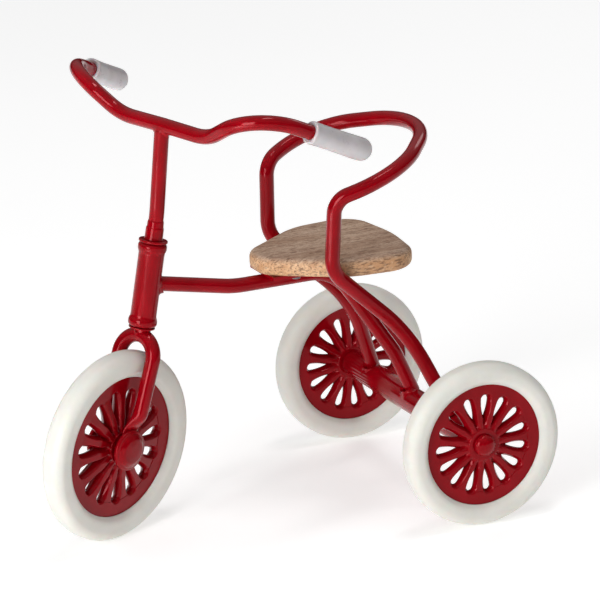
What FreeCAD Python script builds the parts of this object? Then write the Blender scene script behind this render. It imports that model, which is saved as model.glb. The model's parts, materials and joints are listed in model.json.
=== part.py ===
import FreeCAD, Part
import Sketcher
import math
import os

# Miniature children's tricycle of bent, welded steel wire, with a wooden seat.
#
# Frame of the model: +Z is up, the wheels stand on Z = 0, the tricycle faces -Y and its own
# left-hand side is +X.  Everything is laid out from the ground point below the middle of the
# rear axle; at the end the whole tricycle is moved so that the origin is the middle of the
# bottom of its box.  The front end is turned a little to one side, as it was left standing.

V = FreeCAD.Vector
X_AXIS = V(1, 0, 0)
Y_AXIS = V(0, 1, 0)
Z_AXIS = V(0, 0, 1)

# Driving dimensions, in millimetres and degrees.
DIMENSIONS = {
    # wheels
    "rear_radius": 19.0,
    "front_radius": 22.0,
    "half_track": 34.3,
    "tyre_half_width": 3.0,
    "tyre_shoulder": 2.1,
    "tyre_lip_share": 0.742,
    "tyre_flank_round": 0.75,
    "rim_half_width": 1.3,
    "rim_slope": 0.6,
    "rim_seat_depth": 0.4,
    "web_half_width": 0.55,
    "slot_pitch_angle": 24.0,
    "slot_centre_share": 0.545,
    "slot_round_share": 0.05,
    "slot_tip_share": 0.31,
    "web_edge_share": 0.62,
    "rib_inner_share": 0.17,
    "rib_width": 0.5,
    "boss_radius": 3.8,
    "front_wheel_stopped": 5.0,
    "left_wheel_stopped": 6.0,
    "right_wheel_stopped": 5.0,
    "rear_boss_half_width": 1.7,
    "front_boss_half_width": 2.1,
    "bush_radius": 1.6,
    "bush_stand_out": 0.1,
    "pin_radius": 1.0,
    "running_clearance": 0.05,
    "side_clearance": 0.15,
    # frame
    "wire": 3.4,
    "axle_tube": 6.2,
    "washer_radius": 2.9,
    "washer_thickness": 0.5,
    "stay_foot_half_gap": 21.1,
    "stay_foot_rise": 2.2,
    "stay_knee_half_gap": 14.9,
    "stay_knee_setback": -7.9,
    "stay_knee_height": 40.9,
    "stay_knee_bend": 30.0,
    "post_foot_half_gap": 17.3,
    "post_foot_setback": -27.5,
    "post_foot_height": 59.1,
    "post_foot_bend": 7.5,
    "post_head_half_gap": 18.4,
    "post_head_setback": -26.7,
    "post_head_height": 76.0,
    "post_head_bend": 5.0,
    "arm_half_gap": 24.7,
    "arm_setback": -13.2,
    "arm_height": 81.4,
    "arm_bend": 16.5,
    "back_half_gap": 7.2,
    "back_setback": 1.5,
    "back_height": 85.5,
    "back_bend": 19.0,
    "main_front_height": 57.6,
    "main_run_start": -44.1,
    "main_run_end": -19.1,
    "main_run_height": 53.9,
    "main_front_bend": 26.0,
    "main_seat_bend": 11.7,
    "main_knee_setback": -4.4,
    "main_knee_height": 31.6,
    "main_knee_bend": 16.0,
    # steering, measured along the steering axis from the ground
    "steering_reach": 76.1,
    "steering_lean": 10.95,
    "steering_turn": 25.3,
    "head_start": 49.3,
    "head_length": 19.2,
    "head_radius": 2.95,
    "bead_height": 0.35,
    "bead_length": 2.4,
    "bead_inset": 0.7,
    "head_washer_radius": 3.35,
    "head_washer_thickness": 0.6,
    "lower_washer_thickness": 0.35,
    "head_washer_gap": 0.12,
    "collar_length": 4.4,
    "collar_foot_radius": 2.08,
    "collar_top_radius": 1.78,
    "stem_bend_height": 75.0,
    "stem_top": 95.4,
    "stem_forward": 2.1,
    "stem_bend": 30.0,
    "bar_dip_out": 12.9,
    "bar_dip_back": 0.65,
    "bar_dip_rise": -0.3,
    "bar_hand_out": 28.8,
    "bar_hand_back": -4.4,
    "bar_hand_rise": 9.2,
    "bar_end_out": 36.4,
    "bar_end_back": 24.8,
    "bar_end_rise": 1.4,
    "bar_dip_bend": 10.9,
    "bar_hand_bend": 10.4,
    "grip_radius": 2.67,
    "grip_length": 15.0,
    "fork_half_gap": 5.0,
    "fork_top": 47.1,
    "fork_trail": 3.6,
    "fork_knee_height": 7.9,
    "fork_knee_bend": 3.0,
    "fork_foot_half_gap": 4.1,
    "fork_foot_height": 5.6,
    "eye_inner": 2.6,
    "eye_thickness": 1.1,
    "eye_radius": 3.2,
    "eye_neck_width": 3.2,
    "eye_neck_height": 6.6,
    "front_cap_radius": 4.75,
    "front_cap_rim": 0.9,
    "front_cap_height": 2.1,
    "rear_cap_radius": 2.6,
    "rear_cap_height": 1.75,
    "cap_bore_depth": 0.9,
    # seat
    "seat_thickness": 4.2,
    "seat_edge_round": 1.5,
    "seat_back": -3.4,
    "seat_corner_half_width": 17.6,
    "seat_corner": -5.6,
    "seat_flank_half_width": 16.3,
    "seat_flank": -22.5,
    "seat_tip_half_width": 4.4,
    "seat_tip": -38.9,
    "seat_back_round": 34.0,
    "seat_corner_round": 7.5,
    "seat_flank_round": 16.0,
    "seat_tip_round": 7.0,
    "plate_thickness": 0.8,
    "plate_half_width": 6.4,
    "plate_start": -37.0,
    "plate_length": 19.0,
    "screw_spread": 4.4,
    "screw_inset": 6.5,
    "screw_radius": 0.7,
    "screw_head_radius": 1.3,
    "screw_head_height": 0.8,
    "screw_depth": 3.0,
}

doc = FreeCAD.newDocument("tricycle")
sheet = doc.addObject("Spreadsheet::Sheet", "Sizes")
for row, (alias, value) in enumerate(DIMENSIONS.items(), start=1):
    sheet.set("A%d" % row, alias)
    sheet.set("B%d" % row, str(value))
    sheet.setAlias("B%d" % row, alias)
doc.recompute()


class Size:
    """A length that knows both its number and the sheet expression that gives it."""

    def __init__(self, text, value):
        self.text = text
        self.value = value

    def joined(self, sign, other, value):
        text = other.text if isinstance(other, Size) else repr(float(other))
        return Size("(%s %s %s)" % (self.text, sign, text), value)

    def __add__(self, other):
        return self.joined("+", other, self.value + float(other))

    def __sub__(self, other):
        return self.joined("-", other, self.value - float(other))

    def __mul__(self, other):
        return self.joined("*", other, self.value * float(other))

    def __truediv__(self, other):
        return self.joined("/", other, self.value / float(other))

    def __neg__(self):
        return Size("(0 - %s)" % self.text, -self.value)

    def __float__(self):
        return self.value


def size(alias):
    return Size("Sizes." + alias, float(sheet.get(alias)))


def num(alias):
    return float(sheet.get(alias))


ZERO = Size("0", 0.0)
BODIES = []


def node(thing, name, placement=None):
    """Name a finished sub-part and put it in its place."""
    thing.Label = name
    if placement is not None:
        thing.Placement = placement
    BODIES.append(thing)
    return thing


def origin_feature(body, role):
    return next(item for item in body.Origin.OriginFeatures if item.Role == role)


def sketch_on(body, name, role):
    sketch = body.newObject("Sketcher::SketchObject", name)
    sketch.AttachmentSupport = [(origin_feature(body, role), "")]
    sketch.MapMode = "FlatFace"
    return sketch


def pin_point(sketch, item, end, corner):
    """Tie one point of a sketch to a pair of sizes."""
    for kind, axis, part in (("DistanceX", -2, corner[0]), ("DistanceY", -1, corner[1])):
        if part is ZERO:
            sketch.addConstraint(Sketcher.Constraint("PointOnObject", item, end, axis))
        else:
            index = sketch.addConstraint(
                Sketcher.Constraint(kind, -1, 1, item, end, float(part)))
            sketch.setExpression("Constraints[%d]" % index, part.text)


def outline(sketch, corners):
    """A closed outline of straight lines through corners, each a pair of sizes."""
    points = [V(float(x), float(y), 0) for x, y in corners]
    count = len(points)
    for i in range(count):
        sketch.addGeometry(Part.LineSegment(points[i], points[(i + 1) % count]), False)
    for i in range(count):
        sketch.addConstraint(Sketcher.Constraint("Coincident", i, 2, (i + 1) % count, 1))
    for i, corner in enumerate(corners):
        pin_point(sketch, i, 1, corner)


def new_body(name):
    return doc.addObject("PartDesign::Body", name)


def turned(name, corners):
    """A body turned about its own Z axis from (radius, height) corners."""
    body = new_body(name)
    section = sketch_on(body, name + "_section", "XZ_Plane")
    outline(section, corners)
    turn = body.newObject("PartDesign::Revolution", name + "_turn")
    turn.Profile = section
    turn.ReferenceAxis = (section, ["V_Axis"])
    turn.Angle = 360.0
    doc.recompute()
    return body


def padded(name, corners, thickness):
    """A body raised along its own Z axis from an outline of (x, y) corners."""
    body = new_body(name)
    shape = sketch_on(body, name + "_outline", "XY_Plane")
    outline(shape, corners)
    pad = body.newObject("PartDesign::Pad", name + "_pad")
    pad.Profile = shape
    pad.setExpression("Length", thickness.text)
    doc.recompute()
    return body


def round_edges(body, name, radius, wanted):
    """Round the edges of a body's last feature that the test wants."""
    base = body.Tip
    names = ["Edge%d" % (i + 1) for i, edge in enumerate(base.Shape.Edges) if wanted(edge)]
    if not names:
        raise RuntimeError("no edge to round for " + name)
    fillet = body.newObject("PartDesign::Fillet", name)
    fillet.Base = (base, names)
    fillet.setExpression("Radius", radius.text)
    doc.recompute()


def ring_at(radius, height):
    """A test for the circular edge of this radius at this height, above or below."""
    def test(edge):
        circle = edge.Curve
        if not isinstance(circle, Part.Circle):
            return False
        near = abs(circle.Radius - float(radius)) < 1e-3
        return near and abs(abs(circle.Center.z) - abs(float(height))) < 1e-3
    return test


def ring(name, outer, inner, length, placement):
    """A plain ring or tube along its own Z axis."""
    solid = doc.addObject("Part::Cylinder", name + "_outside")
    solid.setExpression("Radius", outer.text)
    solid.setExpression("Height", length.text)
    hole = doc.addObject("Part::Cylinder", name + "_bore")
    hole.setExpression("Radius", inner.text)
    hole.setExpression("Height", length.text)
    cut = doc.addObject("Part::Cut", name)
    cut.Base = solid
    cut.Tool = hole
    return node(cut, name, placement)


def rod(name, radius, length, placement):
    pin = doc.addObject("Part::Cylinder", name)
    pin.setExpression("Radius", radius.text)
    pin.setExpression("Height", length.text)
    return node(pin, name, placement)


def wire_path(points, bends):
    """Straight runs joined by tangent arcs: one bend radius for each inner point."""
    edges = []
    start = points[0]
    for i in range(1, len(points) - 1):
        back = (points[i - 1] - points[i]).normalize()
        ahead = (points[i + 1] - points[i]).normalize()
        half = back.getAngle(ahead) / 2
        reach = bends[i - 1] / math.tan(half)
        entry = points[i] + back * reach
        leave = points[i] + ahead * reach
        middle = (back + ahead).normalize()
        centre = points[i] + middle * (bends[i - 1] / math.sin(half))
        if (entry - start).Length > 1e-4:
            edges.append(Part.LineSegment(start, entry).toShape())
        edges.append(Part.Arc(entry, centre - middle * bends[i - 1], leave).toShape())
        start = leave
    if (points[-1] - start).Length > 1e-4:
        edges.append(Part.LineSegment(start, points[-1]).toShape())
    return Part.Wire(edges)


def bent_wire(points, bends, diameter):
    """A round wire bent along a path of runs and arcs."""
    path = wire_path(points, bends)
    way = points[1] - points[0]
    circle = Part.makeCircle(diameter / 2, points[0], way)
    return path.makePipeShell([Part.Wire([circle])], True, True)


def mirrored_points(points):
    """A row of points that ends on the middle plane, carried on over to the other side."""
    return points + [V(-p.x, p.y, p.z) for p in reversed(points)]


# --- places -----------------------------------------------------------------------------

wire_radius = size("wire") / 2
steering_frame = FreeCAD.Placement(
    V(0, -num("steering_reach"), 0), FreeCAD.Rotation(X_AXIS, -num("steering_lean")))
turned_frame = steering_frame.multiply(
    FreeCAD.Placement(V(0, 0, 0), FreeCAD.Rotation(Z_AXIS, num("steering_turn"))))
Z_TO_X = FreeCAD.Rotation(Y_AXIS, 90)
Z_TO_MINUS_X = FreeCAD.Rotation(Y_AXIS, -90)
AHEAD = turned_frame.Rotation.multVec(V(0, -1, 0))
AXIS = turned_frame.Rotation.multVec(Z_AXIS)
HUB_RISE = (num("front_radius") - num("fork_trail") * AHEAD.z) / AXIS.z


def on_axis(along):
    """A place on the steering axis, this far from the ground."""
    return turned_frame.multiply(FreeCAD.Placement(V(0, 0, along), FreeCAD.Rotation()))


def on_front_hub(offset, turn):
    """A place on the front wheel's axle, offset to the left of the middle of the wheel."""
    spot = V(offset, -num("fork_trail"), HUB_RISE)
    return turned_frame.multiply(FreeCAD.Placement(spot, turn))


def on_rear_axle(offset, turn):
    return FreeCAD.Placement(V(offset, 0, num("rear_radius")), turn)


# --- wheels -----------------------------------------------------------------------------

def wheel_disc(name, radius, boss, placement):
    """Slotted disc: a flat ring, a thin slotted web with ribs, and a boss bored for the bush."""
    lip = radius * size("tyre_lip_share")
    edge = lip + size("rim_seat_depth")
    rim = size("rim_half_width")
    web = size("web_half_width")
    web_edge = radius * size("web_edge_share")
    shoulder = size("boss_radius")
    bore = size("bush_radius")
    rim_start = web_edge + size("rim_slope")
    half = [(bore, boss), (shoulder, boss), (shoulder + 0.6, web), (web_edge, web),
            (rim_start, rim), (edge, rim)]
    body = turned(name, half + [(r, -h) for r, h in reversed(half)])

    ribs = sketch_on(body, name + "_rib_side", "XZ_Plane")
    rib_start = radius * size("rib_inner_share")
    rib_top = boss - 0.15
    rib_low = rim - 0.1
    outline(ribs, [(rib_start, rib_top), (rim_start, rib_low), (rim_start, -rib_low),
                   (rib_start, -rib_top)])
    rib = body.newObject("PartDesign::Pad", name + "_rib")
    rib.Profile = ribs
    rib.setExpression("Length", "Sizes.rib_width")
    rib.Midplane = True
    doc.recompute()
    rib_ring = repeat_round(body, rib, name + "_ribs")
    before = rib_ring.Shape.Volume

    slot = sketch_on(body, name + "_slot_outline", "XY_Plane")
    half_pitch = num("slot_pitch_angle") / 2
    slot.AttachmentOffset = FreeCAD.Placement(V(0, 0, 0), FreeCAD.Rotation(Z_AXIS, half_pitch))
    teardrop(slot, radius)
    pocket = body.newObject("PartDesign::Pocket", name + "_slot")
    pocket.Profile = slot
    pocket.Type = "ThroughAll"
    pocket.Midplane = True
    doc.recompute()
    slots = repeat_round(body, pocket, name + "_slots")
    if slots.Shape.Volume > before - 15:
        raise RuntimeError("the slots cut nothing in " + name)
    return node(body, name, placement)


def repeat_round(body, feature, name):
    pattern = body.newObject("PartDesign::PolarPattern", name)
    pattern.Originals = [feature]
    pattern.Axis = (origin_feature(body, "Z_Axis"), [""])
    pattern.Angle = 360.0
    pattern.setExpression("Occurrences", "round(360 / Sizes.slot_pitch_angle)")
    body.Tip = pattern
    doc.recompute()
    return pattern


def teardrop(sketch, radius):
    """A slot with a round outer end and a pointed inner end, along the sketch's X axis."""
    centre = radius * size("slot_centre_share")
    curve = radius * size("slot_round_share")
    tip = radius * size("slot_tip_share")
    middle = V(float(centre), 0, 0)
    low = V(float(centre), -float(curve), 0)
    high = V(float(centre), float(curve), 0)
    point = V(float(tip), 0, 0)
    sketch.addGeometry(Part.LineSegment(point, low), False)
    circle = Part.Circle(middle, Z_AXIS, float(curve))
    sketch.addGeometry(Part.ArcOfCircle(circle, -math.pi / 2, math.pi / 2), False)
    sketch.addGeometry(Part.LineSegment(high, point), False)
    sketch.addConstraint(Sketcher.Constraint("Coincident", 0, 2, 1, 1))
    sketch.addConstraint(Sketcher.Constraint("Coincident", 1, 2, 2, 1))
    sketch.addConstraint(Sketcher.Constraint("Coincident", 2, 2, 0, 1))
    pin_point(sketch, 0, 1, (tip, ZERO))
    pin_point(sketch, 1, 3, (centre, ZERO))
    index = sketch.addConstraint(Sketcher.Constraint("Radius", 1, float(curve)))
    sketch.setExpression("Constraints[%d]" % index, curve.text)
    sketch.addConstraint(Sketcher.Constraint("Vertical", 1, 1, 1, 3))
    sketch.addConstraint(Sketcher.Constraint("Vertical", 1, 2, 1, 3))


def tyre(name, radius, placement):
    """Solid tyre that snaps over the edge of its disc."""
    lip = radius * size("tyre_lip_share")
    seat = lip + size("rim_seat_depth")
    rim = size("rim_half_width")
    wide = size("tyre_half_width")
    lip_side = rim + 0.2
    side = [(seat, rim), (lip, rim), (lip, lip_side), (lip + 1.2, wide), (radius, wide)]
    body = turned(name, side + [(r, -h) for r, h in reversed(side)])
    shoulder = size("tyre_shoulder")
    round_edges(body, name + "_shoulders", shoulder, ring_at(radius, wide))
    round_edges(body, name + "_flanks", size("tyre_flank_round"), ring_at(lip + 1.2, wide))
    return node(body, name, placement)


def bush(name, boss, offset_place):
    """Hub bush, pressed into the disc and free on the axle pin."""
    length = (boss + size("bush_stand_out")) * 2
    inner = size("pin_radius") + size("running_clearance")
    return ring(name, size("bush_radius"), inner, length, offset_place)


def wheel(prefix, radius, boss, hub, turn, stopped):
    """All the pieces that spin together; hub(offset, turn) gives places along the axle."""
    slots_turn = FreeCAD.Rotation(Z_AXIS, stopped)
    wheel_disc(prefix + "_disc", radius, boss, hub(0, turn.multiply(slots_turn)))
    tyre(prefix + "_tyre", radius, hub(0, turn))
    half = num("bush_stand_out") + float(boss)
    bush(prefix + "_hub_bush", boss, hub(-half, Z_TO_X))


def domed_cap(name, radius, rim, height, round_by, placement):
    """Domed cap pressed on the end of an axle pin, open side down on Z = 0."""
    pin = size("pin_radius")
    depth = size("cap_bore_depth")
    slope = radius * 0.72
    body = turned(name, [(pin, ZERO), (radius, ZERO), (radius, rim), (slope, height),
                         (ZERO, height), (ZERO, depth), (pin, depth)])
    round_edges(body, name + "_dome", round_by, ring_at(slope, height))
    return node(body, name, placement)


front_boss = size("front_boss_half_width")
rear_boss = size("rear_boss_half_width")
wheel("front", size("front_radius"), front_boss, on_front_hub, Z_TO_X,
      num("front_wheel_stopped"))
for side, sign in (("left", 1), ("right", -1)):
    middle = sign * num("half_track")

    def rear_hub(offset, turn, middle=middle):
        return on_rear_axle(middle + offset, turn)

    wheel("rear_" + side, size("rear_radius"), rear_boss, rear_hub, Z_TO_X,
          num(side + "_wheel_stopped"))


# --- rear axle --------------------------------------------------------------------------

bush_face = rear_boss + size("bush_stand_out")
inner_side = size("half_track") - bush_face - size("side_clearance")
outer_side = size("half_track") + bush_face + size("side_clearance")
tube_half = inner_side - size("washer_thickness")
ring("rear_axle_tube", size("axle_tube") / 2, size("pin_radius"), tube_half * 2,
     on_rear_axle(-float(tube_half), Z_TO_X))
pin_half = outer_side + size("cap_bore_depth")
rod("rear_axle_pin", size("pin_radius"), pin_half * 2, on_rear_axle(-float(pin_half), Z_TO_X))
for side, sign, turn in (("left", 1, Z_TO_X), ("right", -1, Z_TO_MINUS_X)):
    ring("rear_washer_" + side, size("washer_radius"), size("pin_radius"),
         size("washer_thickness"), on_rear_axle(sign * float(tube_half), turn))
    domed_cap("rear_cap_" + side, size("rear_cap_radius"), size("rear_cap_height") * 0.35,
              size("rear_cap_height"), size("rear_cap_height") * 0.5,
              on_rear_axle(sign * float(outer_side), turn))


# --- frame wires ------------------------------------------------------------------------

def back_loop():
    """One wire: stay, post, arm and backrest, and the same again down the other side."""
    foot = V(num("stay_foot_half_gap"), 0, num("rear_radius") + num("stay_foot_rise"))
    corners = ("stay_knee", "post_foot", "post_head", "arm", "back")
    half = [foot] + [V(num(part + "_half_gap"), num(part + "_setback"), num(part + "_height"))
                     for part in corners]
    bends = [num(part + "_bend") for part in corners]
    thing = doc.addObject("Part::Feature", "back_loop")
    thing.Shape = bent_wire(mirrored_points(half), bends + bends[::-1], num("wire"))
    node(thing, "back_loop")


def main_tube():
    """The single wire from the head tube, under the seat and down to the middle of the axle."""
    front_height = num("main_front_height")
    lean = math.tan(math.radians(num("steering_lean")))
    wall = (num("head_radius") - 0.6) / math.cos(math.radians(num("steering_lean")))
    front = V(0, front_height * lean - num("steering_reach") + wall, front_height)
    points = [front,
              V(0, num("main_run_start"), num("main_run_height")),
              V(0, num("main_run_end"), num("main_run_height")),
              V(0, num("main_knee_setback"), num("main_knee_height")),
              V(0, 0, num("rear_radius") + num("axle_tube") / 2 - 0.6)]
    bends = [num(part + "_bend") for part in ("main_front", "main_seat", "main_knee")]
    thing = doc.addObject("Part::Feature", "main_tube")
    thing.Shape = bent_wire(points, bends, num("wire"))
    node(thing, "main_tube")


back_loop()
main_tube()


# --- head tube and steering -------------------------------------------------------------

def head_tube():
    """Steel tube with a rolled bead round each end, bored for the stem."""
    radius = size("head_radius")
    bead = radius + size("bead_height")
    length = size("head_length")
    inset = size("bead_inset")
    band = size("bead_length")
    bore = wire_radius + size("running_clearance")
    body = turned("head_tube", [
        (bore, ZERO), (radius, ZERO), (bead, inset), (bead, band - inset), (radius, band),
        (radius, length - band), (bead, length - band + inset), (bead, length - inset),
        (radius, length), (bore, length)])
    node(body, "head_tube", on_axis(num("head_start")))


def steering_rings():
    """Washers above and below the head tube, and the collar that keeps the stem in it."""
    gap = num("head_washer_gap")
    thickness = size("head_washer_thickness")
    start = num("head_start")
    end = start + num("head_length")
    lower = size("lower_washer_thickness")
    ring("head_washer_lower", size("head_washer_radius") - 0.3, wire_radius, lower,
         on_axis(start - gap - float(lower)))
    ring("head_washer_upper", size("head_washer_radius"), wire_radius, thickness,
         on_axis(end + gap))
    foot = size("collar_foot_radius")
    top = size("collar_top_radius")
    length = size("collar_length")
    body = turned("stem_collar", [(wire_radius, ZERO), (foot, ZERO), (foot, length * 0.6),
                                  (top, length), (wire_radius, length)])
    node(body, "stem_collar", on_axis(end + gap + float(thickness)))


def stem():
    """Straight through the head tube, then leaning a little forward to the handlebar."""
    top = V(0, -num("stem_forward"), num("stem_top") - num("wire") / 2 + 0.5)
    points = [V(0, 0, num("fork_top") + num("wire") / 2 - 0.5),
              V(0, 0, num("stem_bend_height")), top]
    thing = doc.addObject("Part::Feature", "stem")
    thing.Shape = bent_wire(points, [num("stem_bend")], num("wire"))
    node(thing, "stem", turned_frame)


def bar_point(part, sign=1):
    """A corner of the handlebar, from the top of the stem."""
    return V(sign * num("bar_%s_out" % part), num("bar_%s_back" % part) - num("stem_forward"),
             num("bar_%s_rise" % part) + num("stem_top"))


def handlebar():
    """One wire: level in the middle, up to each hand, then back and down into the grips."""
    left = [bar_point("end"), bar_point("hand"), bar_point("dip")]
    right = [bar_point("dip", -1), bar_point("hand", -1), bar_point("end", -1)]
    middle = V(0, -num("stem_forward"), num("stem_top"))
    hand = num("bar_hand_bend")
    dip = num("bar_dip_bend")
    thing = doc.addObject("Part::Feature", "handlebar")
    straight = [left + [middle], [middle] + right]
    halves = [bent_wire(straight[0], [hand, dip], num("wire")),
              bent_wire(straight[1], [dip, hand], num("wire"))]
    thing.Shape = halves[0].fuse(halves[1]).removeSplitter()
    node(thing, "handlebar", turned_frame)


def grip(side, sign):
    """Soft sleeve with a round end, pushed over the end of the handlebar."""
    radius = size("grip_radius")
    length = size("grip_length")
    body = turned("grip_" + side, [
        (wire_radius, ZERO), (radius, ZERO), (radius, length + radius), (ZERO, length + radius),
        (ZERO, length), (wire_radius, length)])
    round_edges(body, "grip_%s_end" % side, radius - 0.02, ring_at(radius, length + radius))
    end = bar_point("end", sign)
    way = (end - bar_point("hand", sign)).normalize()
    place = FreeCAD.Placement(end - way * float(length), FreeCAD.Rotation(Z_AXIS, way))
    node(body, "grip_" + side, turned_frame.multiply(place))


def fork():
    """Inverted U of wire over the wheel; each foot is cranked inward and flattened to an eye."""
    gap = num("fork_half_gap")
    top = num("fork_top")
    hub = V(0, -num("fork_trail"), HUB_RISE)
    crown = V(0, 0, top)
    along = (crown - hub).normalize()
    knee = hub + along * num("fork_knee_height")
    foot = hub + along * num("fork_foot_height")
    left = [foot + V(num("fork_foot_half_gap"), 0, 0), knee + V(gap, 0, 0),
            crown + V(gap, 0, 0)]
    right = [V(-p.x, p.y, p.z) for p in reversed(left)]
    bend = num("fork_knee_bend")
    round_top = gap - 0.01
    wires = bent_wire(left + right, [bend, round_top, round_top, bend], num("wire"))
    tilt = FreeCAD.Rotation(Z_AXIS, along)
    solids = [wires]
    for sign in (1, -1):
        solids.append(fork_eye(sign, hub, tilt))
    shape = solids[0].multiFuse(solids[1:])
    hole = Part.makeCylinder(num("pin_radius"), 20, hub - X_AXIS * 10, X_AXIS)
    thing = doc.addObject("Part::Feature", "fork")
    thing.Shape = shape.cut(hole).removeSplitter()
    node(thing, "fork", turned_frame)


def fork_eye(sign, hub, tilt):
    """Flat eye round the axle with a neck up into the foot of the leg."""
    thick = num("eye_thickness")
    inner = sign * (num("eye_inner") + (0 if sign > 0 else thick))
    disc = Part.makeCylinder(num("eye_radius"), thick, V(0, 0, 0), X_AXIS)
    width = num("eye_neck_width")
    neck = Part.makeBox(thick, width, num("eye_neck_height"), V(0, -width / 2, 0))
    eye = disc.fuse(neck)
    eye.Placement = FreeCAD.Placement(hub + V(inner, 0, 0), tilt)
    return eye


head_tube()
steering_rings()
stem()
handlebar()
for side, sign in (("left", 1), ("right", -1)):
    grip(side, sign)
fork()

eye_outer = size("eye_inner") + size("eye_thickness")
front_pin_half = eye_outer + size("cap_bore_depth")
rod("front_axle_pin", size("pin_radius"), front_pin_half * 2,
    on_front_hub(-float(front_pin_half), Z_TO_X))
for side, sign, turn in (("left", 1, Z_TO_X), ("right", -1, Z_TO_MINUS_X)):
    domed_cap("front_cap_" + side, size("front_cap_radius"), size("front_cap_rim"),
              size("front_cap_height"), size("front_cap_height") * 0.5,
              on_front_hub(sign * float(eye_outer), turn))


# --- seat -------------------------------------------------------------------------------

seat_bottom = num("main_run_height") + num("wire") / 2 + num("plate_thickness")


def mirrored_outline(half):
    """Corners on the +X side, from back to front, carried round to the -X side."""
    return half + [(-x, y) for x, y in reversed(half) if x is not ZERO]


def upright_at(x, y):
    """A test for the upright edge over this corner of an outline, on either side."""
    def test(edge):
        ends = [vertex.Point for vertex in edge.Vertexes]
        if len(ends) < 2 or abs(ends[0].z - ends[1].z) < 1e-3:
            return False
        return all(abs(abs(p.x) - float(x)) < 1e-3 and abs(p.y - float(y)) < 1e-3 for p in ends)
    return test


def seat():
    """Wooden seat: a rounded triangle, narrow in front, with soft edges."""
    corners = {name: (size("seat_%s_half_width" % name), size("seat_" + name))
               for name in ("corner", "flank", "tip")}
    half = [(ZERO, size("seat_back")), corners["corner"], corners["flank"], corners["tip"]]
    body = padded("seat", mirrored_outline(half), size("seat_thickness"))
    round_edges(body, "seat_back_round", size("seat_back_round"),
                upright_at(ZERO, size("seat_back")))
    for name, (x, y) in corners.items():
        round_edges(body, "seat_round_" + name, size("seat_%s_round" % name), upright_at(x, y))

    def level(edge):
        heights = [vertex.Point.z for vertex in edge.Vertexes]
        return max(heights) - min(heights) < 1e-3

    round_edges(body, "seat_soft_edge", size("seat_edge_round"), level)
    drill_seat(body)
    node(body, "seat", FreeCAD.Placement(V(0, 0, seat_bottom), FreeCAD.Rotation()))


def screw_places():
    """The four screws, in the corners of the plate."""
    near = num("plate_start") + num("screw_inset")
    far = num("plate_start") + num("plate_length") - num("screw_inset")
    spread = num("screw_spread")
    return [V(x, y, 0) for x in (-spread, spread) for y in (near, far)]


def screw_circles(sketch):
    """Four circles for the screws, each tied to the sheet."""
    start = size("plate_start") + size("screw_inset")
    end = size("plate_start") + size("plate_length") - size("screw_inset")
    spread = size("screw_spread")
    spots = [(x, y) for x in (-spread, spread) for y in (start, end)]
    for index, (x, y) in enumerate(spots):
        circle = Part.Circle(V(float(x), float(y), 0), Z_AXIS, num("screw_radius"))
        sketch.addGeometry(circle, False)
        pin_point(sketch, index, 3, (x, y))
        number = sketch.addConstraint(
            Sketcher.Constraint("Radius", index, num("screw_radius")))
        sketch.setExpression("Constraints[%d]" % number, "Sizes.screw_radius")


def drill_seat(body):
    """Blind pilot holes in the underside."""
    before = body.Tip.Shape.Volume
    sketch = sketch_on(body, "seat_pilot_holes", "XY_Plane")
    screw_circles(sketch)
    pocket = body.newObject("PartDesign::Pocket", "seat_pilots")
    pocket.Profile = sketch
    pocket.Reversed = True
    pocket.setExpression("Length", "Sizes.screw_depth - Sizes.plate_thickness")
    doc.recompute()
    if body.Tip.Shape.Volume > before - 1:
        raise RuntimeError("the pilot holes cut nothing")


def seat_plate():
    """Thin plate on top of the main tube; the seat is screwed to it from below."""
    wide = size("plate_half_width")
    start = size("plate_start")
    end = start + size("plate_length")
    corners = [(-wide, start), (wide, start), (wide, end), (-wide, end)]
    body = padded("seat_plate", corners, size("plate_thickness"))
    before = body.Tip.Shape.Volume
    sketch = sketch_on(body, "seat_plate_holes", "XY_Plane")
    screw_circles(sketch)
    pocket = body.newObject("PartDesign::Pocket", "seat_plate_drilled")
    pocket.Profile = sketch
    pocket.Type = "ThroughAll"
    pocket.Reversed = True
    doc.recompute()
    if body.Tip.Shape.Volume > before - 1:
        raise RuntimeError("the plate's holes cut nothing")
    place = V(0, 0, seat_bottom - num("plate_thickness"))
    node(body, "seat_plate", FreeCAD.Placement(place, FreeCAD.Rotation()))


def seat_screws():
    """Four wood screws, driven up through the plate into the seat."""
    solids = []
    for spot in screw_places():
        shank = Part.makeCylinder(num("screw_radius"), num("screw_depth"), spot, Z_AXIS)
        height = num("screw_head_height")
        head = Part.makeCone(num("screw_head_radius") * 0.7, num("screw_head_radius"), height,
                             spot - Z_AXIS * height, Z_AXIS)
        solids.append(shank.fuse(head).removeSplitter())
    thing = doc.addObject("Part::Feature", "seat_screws")
    thing.Shape = Part.makeCompound(solids)
    place = V(0, 0, seat_bottom - num("plate_thickness"))
    node(thing, "seat_screws", FreeCAD.Placement(place, FreeCAD.Rotation()))


seat()
seat_plate()
seat_screws()


# --- finish -----------------------------------------------------------------------------

doc.recompute()
for item in doc.Objects:
    if "Invalid" in item.State or "Error" in item.State:
        raise RuntimeError("%s failed: %s" % (item.Label, item.State))
for item in BODIES:
    if item.Shape.isNull() or not item.Shape.isValid():
        raise RuntimeError("bad shape: " + item.Label)

# Stand the tricycle with the origin in the middle of the bottom of its box.
whole = FreeCAD.BoundBox()
for item in BODIES:
    whole.add(item.Shape.optimalBoundingBox(True, False))
shift = V(-(whole.XMin + whole.XMax) / 2, -(whole.YMin + whole.YMax) / 2, -whole.ZMin)
for item in BODIES:
    item.Placement = FreeCAD.Placement(item.Placement.Base + shift, item.Placement.Rotation)
doc.recompute()

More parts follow.
